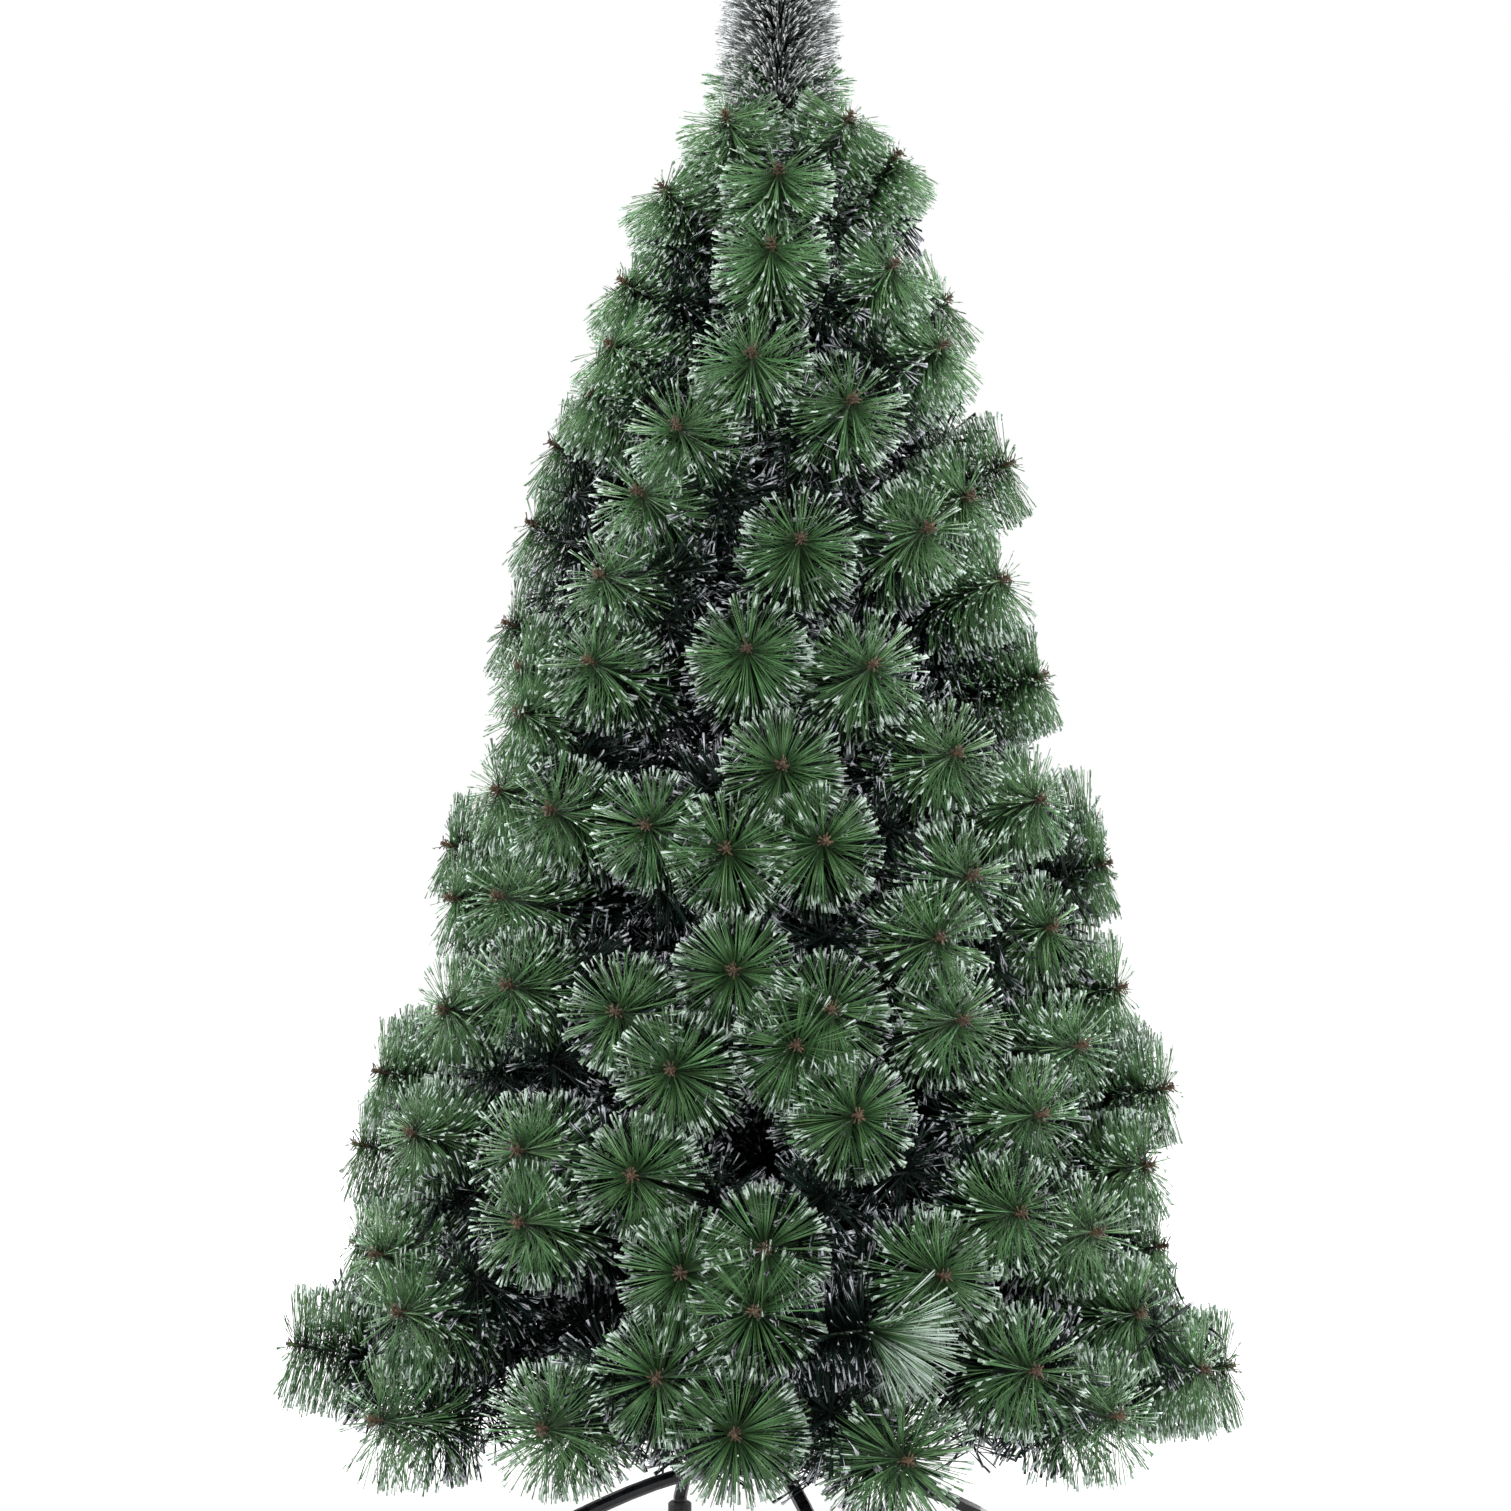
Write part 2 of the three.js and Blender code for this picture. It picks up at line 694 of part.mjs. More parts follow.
// Leader: a wire core whose every facet carries one three-sided strand. All strands have one lean and
// spread from the core, so none cross.
function leaderBrush() {
  const core = leader_core / 2;
  const bottom = stem_top + seat_gap;
  const lift = leader_radius * Math.tan(radians(strand_lean));
  const top = tree_height - lift;
  const band = (top - bottom) / leader_bands;
  const points = [];
  const faces = [];
  const corner = (ring, side) => {
    const turn = (full_turn * side) / core_sides + leader_twist * ring;
    return outward(turn).multiplyScalar(core).setZ(bottom + band * ring);
  };
  const add = (...trio) => {
    faces.push(points.length, points.length + 1, points.length + 2);
    points.push(...trio);
  };
  const strand = (...foot) => {
    const middle = foot[0].clone().add(foot[1]).add(foot[2]).divideScalar(foot.length);
    const way = middle.clone().setZ(0).normalize();
    const end = way.clone().multiplyScalar(leader_radius).setZ(middle.z + lift);
    const widest = Math.max(...foot.map((point) => point.distanceTo(middle)));
    const head = foot.map((point) => {
      return point.clone().sub(middle).multiplyScalar(strand_width / 2 / widest).add(end);
    });
    foot.forEach((point, index) => {
      const next = (index + 1) % foot.length;
      add(point, foot[next], head[index]);
      add(foot[next], head[next], head[index]);
    });
    add(...head);
  };
  for (let ring = 0; ring < leader_bands; ring += 1) {
    for (let side = 0; side < core_sides; side += 1) {
      const low = corner(ring, side);
      const low_next = corner(ring, side + 1);
      const high = corner(ring + 1, side);
      const high_next = corner(ring + 1, side + 1);
      strand(low, low_next, high);
      strand(low_next, high_next, high);
    }
  }
  const foot_centre = new THREE.Vector3(0, 0, bottom);
  const head_centre = new THREE.Vector3(0, 0, top);
  for (let side = 0; side < core_sides; side += 1) {
    add(foot_centre, corner(0, side + 1), corner(0, side));
    add(head_centre, corner(leader_bands, side), corner(leader_bands, side + 1));
  }
  const geometry = new THREE.BufferGeometry().setFromPoints(points);
  geometry.setIndex(faces);
  return mesh('leader_brush', mergeVertices(geometry), needle_dark);
}

// The tree put together
const tree = new THREE.Group();
tree.add(socketTube());
tree.add(legPair('lower_leg_bar', lower_leg_turn, 0, ['foot_cap_1', 'foot_cap_2']));
tree.add(legPair('upper_leg_bar', upper_leg_turn, upper_leg_rise, ['foot_cap_3', 'foot_cap_4']));
tree.add(retainingRing());
tree.add(thumbScrew());
tree.add(poleTube('lower_pole', pole_bottom, lower_pole_top, false));
tree.add(poleTube('upper_pole', lower_pole_top + seat_gap, upper_pole_top, true));
tree.add(topStem());

tiers.forEach((tier, tier_index) => {
  const level = new THREE.Group();
  level.position.z = collar_heights[tier_index];
  const own = branches.filter((branch) => branch.tier === tier_index + 1);
  level.add(hingeCollar(`hinge_collar_${tier_index + 1}`, own.map((branch) => branch.turn)));
  for (const branch of own) {
    const arm = new THREE.Group();
    arm.rotation.z = radians(branch.turn);
    arm.add(branchRod(`branch_rod_${branch.tier}_${branch.number}`, branch.length));
    arm.add(branchSprays(`branch_sprays_${branch.tier}_${branch.number}`, branch));
    level.add(arm);
  }
  tree.add(level);
});

crown_parts.forEach((part, index) => tree.add(crownSprays(`crown_sprays_${index + 1}`, part)));
tree.add(leaderBrush());

export default tree;
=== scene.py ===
# Looks of a folding artificial pine tree with frosted needle brushes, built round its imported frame.
# Metres, +Z up, the front of the tree faces -Y. A turn is an angle about the pole, 0 at the front.

import math

import bpy
import numpy as np
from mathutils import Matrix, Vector


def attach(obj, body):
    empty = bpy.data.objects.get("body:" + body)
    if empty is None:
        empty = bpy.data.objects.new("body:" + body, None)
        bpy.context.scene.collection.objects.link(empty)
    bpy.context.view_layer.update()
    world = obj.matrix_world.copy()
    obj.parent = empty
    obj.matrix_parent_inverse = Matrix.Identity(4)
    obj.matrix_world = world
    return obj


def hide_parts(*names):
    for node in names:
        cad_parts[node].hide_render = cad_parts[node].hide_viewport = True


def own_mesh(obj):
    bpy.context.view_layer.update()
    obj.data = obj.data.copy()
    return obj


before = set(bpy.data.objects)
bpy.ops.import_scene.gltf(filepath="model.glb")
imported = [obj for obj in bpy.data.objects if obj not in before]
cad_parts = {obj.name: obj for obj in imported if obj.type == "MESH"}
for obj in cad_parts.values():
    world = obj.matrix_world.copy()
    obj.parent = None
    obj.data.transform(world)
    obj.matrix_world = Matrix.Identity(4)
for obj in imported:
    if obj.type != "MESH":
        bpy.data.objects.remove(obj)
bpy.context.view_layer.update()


# Camera: level with the middle of the tree and 3.2 m in front of it. The tree leans a little to the
# right in the photograph, which a small roll of the camera gives back.
camera_height = 0.92
camera_distance = 3.2
camera_aside = -0.015
camera_roll = math.radians(-0.8)
camera_data = bpy.data.cameras.new("camera")
camera_data.sensor_width = 36
camera_data.lens = 69.7
camera = bpy.data.objects.new("camera", camera_data)
camera.location = (camera_aside, -camera_distance, camera_height)
camera.rotation_euler = (math.radians(90), camera_roll, 0)
bpy.context.scene.collection.objects.link(camera)
bpy.context.scene.camera = camera


# Black steel of the stand: gloss enamel over rolled bar and tube, with a faint orange peel in the gloss
# and a duller, lighter bloom where hands and the floor have rubbed it.
rubbed_duller = 0.1


def paint_skin(name, colour, rubbed, gloss, peel_scale, peel_depth):
    """A painted or moulded skin. gloss is the roughness of its unworn places, 0 for a mirror."""
    paint = bpy.data.materials.new(name)
    paint.use_nodes = True
    tree = paint.node_tree
    coat = tree.nodes["Principled BSDF"]
    coat.inputs["Specular IOR Level"].default_value = 0.35
    place = tree.nodes.new("ShaderNodeTexCoord")
    peel = tree.nodes.new("ShaderNodeTexNoise")
    peel.inputs["Scale"].default_value = peel_scale
    peel.inputs["Detail"].default_value = 3
    # The worn patches are far broader than the peel
    wear = tree.nodes.new("ShaderNodeTexNoise")
    wear.inputs["Scale"].default_value = peel_scale / 14
    wear.inputs["Detail"].default_value = 5
    spread = tree.nodes.new("ShaderNodeMapRange")
    spread.inputs["From Min"].default_value = 0.45
    spread.inputs["From Max"].default_value = 0.75
    tint = tree.nodes.new("ShaderNodeMix")
    tint.data_type = "RGBA"
    tint.inputs["A"].default_value = (*colour, 1)
    tint.inputs["B"].default_value = (*rubbed, 1)
    dull = tree.nodes.new("ShaderNodeMapRange")
    dull.inputs["To Min"].default_value = gloss
    dull.inputs["To Max"].default_value = min(1, gloss + rubbed_duller)
    raise_skin = tree.nodes.new("ShaderNodeBump")
    raise_skin.inputs["Strength"].default_value = 0.25
    raise_skin.inputs["Distance"].default_value = peel_depth
    for texture in (peel, wear):
        tree.links.new(place.outputs["Object"], texture.inputs["Vector"])
    tree.links.new(wear.outputs["Fac"], spread.inputs["Value"])
    tree.links.new(spread.outputs["Result"], tint.inputs["Factor"])
    tree.links.new(spread.outputs["Result"], dull.inputs["Value"])
    tree.links.new(tint.outputs["Result"], coat.inputs["Base Color"])
    tree.links.new(dull.outputs["Result"], coat.inputs["Roughness"])
    tree.links.new(peel.outputs["Fac"], raise_skin.inputs["Height"])
    tree.links.new(raise_skin.outputs["Normal"], coat.inputs["Normal"])
    return paint


def finish_with(piece, skin):
    piece.data.materials.clear()
    piece.data.materials.append(skin)


black_enamel = paint_skin("black_enamel", colour=(0.007, 0.0075, 0.009), rubbed=(0.02, 0.021, 0.024),
                          gloss=0.26, peel_scale=900, peel_depth=0.0001)
for node in ("socket_tube", "lower_leg_bar", "upper_leg_bar", "leg_retaining_ring"):
    finish_with(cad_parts[node], black_enamel)


# Foot caps and thumb screw: moulded black rubber and plastic, with the fine grain of the mould and a
# paler dusting where they touch the floor or a hand.
black_rubber = paint_skin("black_rubber", colour=(0.012, 0.012, 0.012), rubbed=(0.035, 0.035, 0.034),
                          gloss=0.62, peel_scale=2600, peel_depth=0.0002)
for node in ("foot_cap_1", "foot_cap_2", "foot_cap_3", "foot_cap_4"):
    finish_with(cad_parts[node], black_rubber)
knob_plastic = paint_skin("knob_plastic", colour=(0.01, 0.01, 0.011), rubbed=(0.032, 0.032, 0.032),
                          gloss=0.35, peel_scale=2200, peel_depth=0.0001)
finish_with(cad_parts["thumb_screw"], knob_plastic)


# Poles, collars and branch rods: drawn steel tube and rod under a satin dark green coat. The hinge
# collars, which clip round the poles, are moulded in plastic of the same green, a little duller.
pole_coat = paint_skin("pole_coat", colour=(0.02, 0.055, 0.026), rubbed=(0.05, 0.1, 0.055),
                       gloss=0.38, peel_scale=700, peel_depth=0.0002)
for node in ("lower_pole", "upper_pole", "top_stem"):
    finish_with(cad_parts[node], pole_coat)
collar_plastic = paint_skin("collar_plastic", colour=(0.018, 0.05, 0.024), rubbed=(0.045, 0.09, 0.05),
                            gloss=0.5, peel_scale=1800, peel_depth=0.0001)
rod_coat = paint_skin("rod_coat", colour=(0.03, 0.06, 0.03), rubbed=(0.1, 0.12, 0.09),
                      gloss=0.42, peel_scale=1200, peel_depth=0.0001)
for node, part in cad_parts.items():
    if node.startswith("hinge_collar"):
        finish_with(part, collar_plastic)
    if node.startswith("branch_rod"):
        finish_with(part, rod_coat)


# Plan of the branches: where each hinge, rod, twig and brush tip is. It is the frame's own plan, with
# the same turns and height shares, so that every brush grows from the twig that the frame gives it.
tree_height = 1.8
foliage_radius = 0.49
brush_length = 0.12201
pin_circle = 0.025
socket_top = 0.2567
branch_rise = math.radians(12)
sleeve_start = 0.028
stem_radius = 0.0045
# How far each rod stops short of the outline, where its first twig leaves it, how close to its end
# the last one does, and how far back a twig leaves for each metre that its brush stands aside
rod_short_of_outline = 0.15
first_twig = 0.034
last_twig_from_end = 0.006
twig_set_back = 0.9
outline_shares = ((0, 1), (0.155, 1), (0.31, 0.865), (0.45, 0.715), (0.59, 0.57), (0.7, 0.465),
                  (0.79, 0.355), (0.86, 0.262), (0.9, 0.185), (1, 0.06))
tip_rise = ((0.1, 7), (0.45, 13), (0.7, 24), (0.8, 36), (0.9, 54))
collar_rise_shares = (0.029, 0.191, 0.35, 0.5245)
first_turns = (0, 30, 45, 0)
branch_counts = (6, 6, 4, 4)
# Each brush of the front half is (turn, height share, share of the usual reach)
tier_brushes = (
    ((-90, 0.149, 1.04), (-51, 0.143, 1), (-25, 0.157, 1), (-3, 0.161, 1), (16, 0.147, 1), (45, 0.156, 1),
     (69, 0.162, 1), (-50, 0.202, 1), (-12, 0.187, 1), (33, 0.186, 1), (90, 0.178, 0.93), (-90, 0.212, 0.95),
     (58, 0.2, 0.95), (-58, 0.228, 1), (-32, 0.259, 1), (-10, 0.24, 1), (-1, 0.222, 1), (0, 0.253, 1),
     (22, 0.238, 1), (47, 0.252, 1), (76, 0.226, 0.94), (-90, 0.271, 1), (34, 0.267, 1), (64, 0.28, 1),
     (90, 0.144, 1.04)),
    ((-17, 0.288, 1), (-34, 0.296, 1), (76, 0.319, 1.04), (40, 0.317, 1), (12, 0.321, 1), (-78, 0.321, 1),
     (-56, 0.296, 1), (-13, 0.343, 1), (52, 0.351, 1), (4, 0.357, 1), (-56, 0.365, 1), (-22, 0.372, 1),
     (73, 0.378, 1), (9, 0.376, 1), (29, 0.369, 1), (-42, 0.382, 1), (-5, 0.396, 1)),
    ((27, 0.413, 1), (-49, 0.43, 1), (35, 0.446, 1), (84, 0.449, 1.04), (90, 0.474, 1.04), (-90, 0.454, 1),
     (-7, 0.46, 1), (9, 0.465, 1), (-21, 0.472, 1), (-41, 0.479, 1), (57, 0.488, 1), (-58, 0.489, 1),
     (2, 0.506, 1), (36, 0.514, 1), (-72, 0.425, 0.96), (58, 0.415, 0.93), (-57, 0.534, 1)),
    ((82, 0.561, 1), (20, 0.562, 1), (-39, 0.563, 1), (-5, 0.57, 1), (-90, 0.589, 1.02), (-62, 0.56, 1),
     (65, 0.616, 1), (-41, 0.613, 1), (6, 0.632, 1), (38, 0.642, 1), (-90, 0.65, 1.04), (-34, 0.66, 1),
     (90, 0.69, 1.1), (-90, 0.698, 1.04), (-26, 0.698, 1), (62, 0.665, 0.95), (21, 0.714, 1),
     (-66, 0.724, 1)),
)
# Each ring of the crown is (height share of its foot on the stem, its brushes)
crown_brushes = (
    (0.72, ((-7, 0.74, 1), (62, 0.754, 1.02), (-62, 0.752, 1))),
    (0.765, ((90, 0.789, 1.06), (-70, 0.792, 1), (47, 0.799, 1), (-2, 0.805, 1))),
    (0.84, ((-62, 0.847, 1), (0, 0.851, 1), (76, 0.872, 1.12), (-33, 0.888, 1), (49, 0.891, 1))),
)


def outward(turn):
    return np.array([math.sin(math.radians(turn)), -math.cos(math.radians(turn)), 0.0])


def both_halves(front):
    """The front's brushes, and their mirror images behind. Those at the very sides belong to both halves."""
    mirrored = [(180 - turn, share, reach_share) for turn, share, reach_share in front if abs(turn) < 88]
    return list(front) + mirrored


def turn_between(one, other):
    """Degrees between two turns, the short way round."""
    apart = (one - other) % 360
    return min(apart, 360 - apart)


def brush_at(turn, share, reach_share):
    radius = foliage_radius * reach_share * np.interp(share, *zip(*outline_shares))
    rise = math.radians(np.interp(share, *zip(*tip_rise)))
    tip = outward(turn) * radius + np.array([0, 0, tree_height * share])
    ahead = outward(turn) * math.cos(rise) + np.array([0, 0, math.sin(rise)])
    return {"turn": turn, "share": share, "tip": tip, "base": tip - ahead * brush_length, "ahead": ahead}


branches = []
for tier, brushes in enumerate(tier_brushes):
    height = socket_top + (tree_height - socket_top) * collar_rise_shares[tier]
    reach = foliage_radius * np.interp(height / tree_height, *zip(*outline_shares))
    length = (reach - rod_short_of_outline - pin_circle) / math.cos(branch_rise)
    tier_branches = []
    for number in range(branch_counts[tier]):
        turn = first_turns[tier] + 360 * number / branch_counts[tier]
        way = outward(turn)
        root = way * pin_circle + np.array([0, 0, height])
        ahead = way * math.cos(branch_rise) + np.array([0, 0, math.sin(branch_rise)])
        label = f"{tier + 1}_{number + 1}"
        tier_branches.append({"label": label, "turn": turn, "way": way, "root": root, "ahead": ahead,
                              "length": length, "brushes": []})
    for turn, share, reach_share in both_halves(brushes):
        owner = min(tier_branches, key=lambda branch: turn_between(branch["turn"], turn))
        brush = brush_at(turn, share, reach_share)
        along = brush["base"] @ owner["way"] - pin_circle
        beside = abs(np.cross(brush["base"], owner["way"])[2])
        last_twig = length * math.cos(branch_rise) - last_twig_from_end
        place = max(first_twig, min(last_twig, along - twig_set_back * beside))
        brush["root"] = owner["root"] + owner["ahead"] * place / math.cos(branch_rise)
        owner["brushes"].append(brush)
    branches += tier_branches
crowns = []
for number, (stem_share, brushes) in enumerate(crown_brushes):
    part = {"label": str(number + 1), "height": tree_height * stem_share, "brushes": []}
    for turn, share, reach_share in both_halves(brushes):
        brush = brush_at(turn, share, reach_share)
        brush["root"] = outward(turn) * stem_radius + np.array([0, 0, part["height"]])
        part["brushes"].append(brush)
    crowns.append(part)


# Green needles: slit plastic film caught between two twisted wires, so that they stand straight out
# all round. Most carry a blunt flake of white flocking at the tip, and neighbours cling together there.
needle_columns = 96
golden_turn = math.pi * (3 - math.sqrt(5))


def across(ahead):
    level = np.array([0, 0, 1.0]) if abs(ahead[2]) < 0.9 else np.array([1.0, 0, 0])
    side = np.cross(ahead, level)
    side /= np.linalg.norm(side)
    return side, np.cross(ahead, side)


def grow_needles(draw, foot, head, count, first, last, reach, lean, clump):
    """Roots, heads and map columns of about count needles round the wire from foot to head, in clumps.

    They stand from share first to share last of the wire. lean is how far they slant forward, the
    spread of that, and what the last fifth of the wire adds, all in radians. clump is how far
    neighbours cling together at the tip.
    """
    clump_size, stray_share, stray_slant, past_wire, droop = 1.5, 0.08, 0.45, 0.012, 0.02
    ahead = head - foot
    long_wire = np.linalg.norm(ahead)
    ahead = ahead / long_wire
    side, other = across(ahead)
    clumps = max(1, round(count / clump_size))
    owner = np.repeat(np.arange(clumps), draw.integers(1, 3, clumps))
    needles = len(owner)

    def spoke(place, turn, slant, length):
        out = np.outer(np.cos(turn), side) + np.outer(np.sin(turn), other)
        wire = foot + np.outer(place * long_wire, ahead)
        return wire, wire + (out * np.cos(slant)[:, None] + ahead * np.sin(slant)[:, None]) * length[:, None]

    place = first + (last - first) * ((np.arange(clumps) + draw.random(clumps)) / clumps) ** 0.8
    turn = golden_turn * np.arange(clumps) + draw.normal(0, 0.3, clumps)
    stray = np.where(draw.random(clumps) < stray_share, draw.uniform(-stray_slant, stray_slant, clumps), 0)
    slant = draw.normal(lean[0], lean[1], clumps) + lean[2] * np.clip((place - 0.8) / 0.2, 0, 1) + stray
    barrel = np.interp(place, (0, 0.3, 0.9, 1), (0.95, 1, 0.98, 0.93))
    length = reach * barrel * draw.uniform(0.93, 1.02, clumps)
    shared = spoke(place, turn, slant, length)[1]
    own_place = np.clip(place[owner] + draw.normal(0, 0.015, needles), first - 0.02, last)
    own_turn = turn[owner] + draw.normal(0, 0.05, needles)
    own_slant = slant[owner] + draw.normal(0, 0.04, needles)
    own_length = length[owner] * draw.uniform(0.9, 1.02, needles)
    roots, heads = spoke(own_place, own_turn, own_slant, own_length)
    heads += (shared[owner] - heads) * clump
    # None reaches far past the end of the wire
    heads -= np.outer(np.maximum(0, (heads - head) @ ahead - past_wire), ahead)
    heads[:, 2] -= droop * reach
    return roots, heads, draw.integers(0, needle_columns, clumps)[owner]


def slivers(draw, roots, heads, root_width, head_width, low, high, columns):
    """Four-faced slivers, one edge at the root and one across it at the head, and their map rows.

    The rows low and high are what the film shows at root and head, 0 at the wire and 1 at the tip.
    """
    ahead = heads - roots
    ahead /= np.linalg.norm(ahead, axis=1)[:, None]
    level = np.where(np.abs(ahead[:, 2:]) < 0.9, [[0, 0, 1.0]], [[1.0, 0, 0]])
    side = np.cross(ahead, level)
    side /= np.linalg.norm(side, axis=1)[:, None]
    other = np.cross(ahead, side)
    roll = draw.uniform(0, 2 * math.pi, len(roots))[:, None]
    flat = (np.cos(roll) * side + np.sin(roll) * other) * root_width[:, None] / 2
    upright = (np.cos(roll) * other - np.sin(roll) * side) * head_width[:, None] / 2
    points = np.stack((roots - flat, roots + flat, heads - upright, heads + upright), 1)
    low, high = np.broadcast_to(low, len(roots)), np.broadcast_to(high, len(roots))
    rows = np.stack((low, low, high, high), 1)
    return points, rows, columns


flock_rows = (0.9, 0.98)


def flake_slivers(draw, roots, heads, share, length, width, columns):
    """Flocking on a share of the needles: a stubby sliver over the last millimetres of each."""
    chosen = draw.random(len(roots)) < share
    tips = heads[chosen]
    back = roots[chosen] - tips
    back /= np.linalg.norm(back, axis=1)[:, None]
    count = len(tips)
    foot = tips + back * (length * draw.uniform(0.6, 1.25, count))[:, None]
    tips = tips + draw.normal(0, 0.0008, (count, 3)) - back * 0.0005
    full = width * draw.uniform(0.6, 1.3, count)
    return slivers(draw, foot, tips, full * 0.55, full, *flock_rows, columns[chosen])


def fleck_slivers(draw, roots, heads, share, width, columns):
    """A few specks of flocking caught half way along the needles."""
    chosen = draw.random(len(roots)) < share
    count = int(chosen.sum())
    place = draw.uniform(0.45, 0.9, count)[:, None]
    foot = roots[chosen] + (heads[chosen] - roots[chosen]) * place
    ahead = heads[chosen] - roots[chosen]
    ahead /= np.linalg.norm(ahead, axis=1)[:, None]
    full = width * draw.uniform(0.6, 1.2, count)
    tips = foot + ahead * draw.uniform(0.003, 0.006, count)[:, None]
    return slivers(draw, foot, tips, full * 0.7, full, *flock_rows, columns[chosen])


def lay_mesh(name, batches):
    """One mesh of slivers, four faces each, with each needle's strip of the map called OFBake."""
    points, rows, columns = (np.concatenate(parts) for parts in zip(*batches))
    count = len(points)
    corners = np.array(((0, 1, 2), (1, 0, 3), (3, 2, 1), (2, 3, 0)))
    along = np.array((0.1, 0.9, 0.1, 0.9)) / needle_columns
    numbers = (corners.reshape(1, -1) + 4 * np.arange(count)[:, None]).ravel()
    on_map = np.stack((columns[:, None] / needle_columns + along, rows), 2)[:, corners.ravel()]
    mesh = bpy.data.meshes.new(name)
    mesh.vertices.add(count * 4)
    mesh.vertices.foreach_set("co", points.astype(np.float32).ravel())
    mesh.loops.add(len(numbers))
    mesh.loops.foreach_set("vertex_index", numbers.astype(np.int32))
    mesh.polygons.add(len(numbers) // 3)
    mesh.polygons.foreach_set("loop_start", np.arange(0, len(numbers), 3, dtype=np.int32))
    mesh.update(calc_edges=True)
    mesh.uv_layers.new(name="OFBake").data.foreach_set("uv", on_map.astype(np.float32).ravel())
    mesh.polygons.foreach_set("use_smooth", np.ones(len(numbers) // 3, bool))
    piece = bpy.data.objects.new(name, mesh)
    bpy.context.scene.collection.objects.link(piece)
    return piece


def needle_film(name, film, frost, frost_from, speckle, film_gloss, shine=0.35):
    """Film colours from wire to tip, with a ragged edge of flocking that differs from needle to needle.

    film is the colours at the wire, half way and at the tip; its darker colours towards the wire are painted
    shade for the needles' roots deep in a brush. frost is the flocking's two colours.
    frost_from is how far along the needle it starts, and a higher speckle leaves fewer loose specks.
    """
    skin = bpy.data.materials.new(name)
    skin.use_nodes = True
    tree = skin.node_tree
    new, link = tree.nodes.new, tree.links.new
    shader = tree.nodes["Principled BSDF"]
    shader.inputs["Specular IOR Level"].default_value = shine
    on_map = new("ShaderNodeUVMap")
    on_map.uv_map = "OFBake"
    parts = new("ShaderNodeSeparateXYZ")
    link(on_map.outputs["UV"], parts.inputs["Vector"])

    def work(operation, first, second, third=None, clamp=False):
        node = new("ShaderNodeMath")
        node.operation = operation
        node.use_clamp = clamp
        for slot, value in enumerate((first, second, third)):
            if isinstance(value, (int, float)):
                node.inputs[slot].default_value = value
            elif value is not None:
                link(value, node.inputs[slot])
        return node.outputs["Value"]

    column = work("FLOOR", work("MULTIPLY", parts.outputs["X"], needle_columns), 0)
    chance = new("ShaderNodeTexWhiteNoise")
    chance.noise_dimensions = "1D"
    link(column, chance.inputs["W"])
    odds = new("ShaderNodeSeparateColor")
    link(chance.outputs["Color"], odds.inputs["Color"])
    stretched = new("ShaderNodeVectorMath")
    stretched.operation = "MULTIPLY"
    stretched.inputs[1].default_value = (needle_columns, 14, 1)
    link(on_map.outputs["UV"], stretched.inputs[0])
    grain = new("ShaderNodeTexNoise")
    grain.inputs["Scale"].default_value = 1
    grain.inputs["Detail"].default_value = 3
    link(stretched.outputs["Vector"], grain.inputs["Vector"])
    # How far down the needle its flocking starts
    edge = work("MULTIPLY_ADD", odds.outputs["Red"], 0.2, frost_from)
    ragged = work("MULTIPLY_ADD", grain.outputs["Fac"], 0.22, parts.outputs["Y"])
    covered = new("ShaderNodeMapRange")
    covered.interpolation_type = "SMOOTHSTEP"
    link(ragged, covered.inputs["Value"])
    link(edge, covered.inputs["From Min"])
    link(work("ADD", edge, 0.1), covered.inputs["From Max"])
    fleck = work("GREATER_THAN", grain.outputs["Fac"], speckle)
    fleck_far = work("MULTIPLY", fleck, work("GREATER_THAN", parts.outputs["Y"], 0.3))
    flock = work("MAXIMUM", covered.outputs["Result"], work("MULTIPLY", fleck_far, 0.8))
    # The film colour darkens towards the wire: painted shade for the inside of a brush.
    ramp = new("ShaderNodeValToRGB")
    ramp.color_ramp.elements[0].color = (*film[0], 1)
    ramp.color_ramp.elements[1].color = (*film[2], 1)
    middle = ramp.color_ramp.elements.new(0.4)
    middle.color = (*film[1], 1)
    link(parts.outputs["Y"], ramp.inputs["Fac"])
    shade = new("ShaderNodeHueSaturation")
    link(ramp.outputs["Color"], shade.inputs["Color"])
    link(work("MULTIPLY_ADD", odds.outputs["Green"], 1.2, 0.38), shade.inputs["Value"])
    link(work("MULTIPLY_ADD", odds.outputs["Blue"], 0.03, 0.485), shade.inputs["Hue"])
    flakes = new("ShaderNodeMix")
    flakes.data_type = "RGBA"
    flakes.inputs["A"].default_value = (*frost[0], 1)
    flakes.inputs["B"].default_value = (*frost[1], 1)
    link(grain.outputs["Fac"], flakes.inputs["Factor"])
    both = new("ShaderNodeMix")
    both.data_type = "RGBA"
    link(flock, both.inputs["Factor"])
    link(shade.outputs["Color"], both.inputs["A"])
    link(flakes.outputs["Result"], both.inputs["B"])
    link(both.outputs["Result"], shader.inputs["Base Color"])
    link(work("MULTIPLY_ADD", flock, 0.9 - film_gloss, film_gloss), shader.inputs["Roughness"])
    rough_flock = new("ShaderNodeBump")
    rough_flock.inputs["Strength"].default_value = 0.5
    rough_flock.inputs["Distance"].default_value = 0.0005
    link(work("MULTIPLY", flock, grain.outputs["Fac"]), rough_flock.inputs["Height"])
    link(rough_flock.outputs["Normal"], shader.inputs["Normal"])
    return skin


green_film = needle_film(
    "green_film",
    film=((0.022, 0.055, 0.018), (0.078, 0.19, 0.064), (0.1, 0.215, 0.086)),
    frost=((0.39, 0.52, 0.43), (0.76, 0.88, 0.8)),
    frost_from=0.86, speckle=0.78, film_gloss=0.42,
)


def brush_reach(share):
    """Length of the needles of a brush at a height share, longest at the foot of the tree."""
    return np.interp(share, (0.15, 0.27, 0.7, 0.9), (0.073, 0.067, 0.067, 0.056))
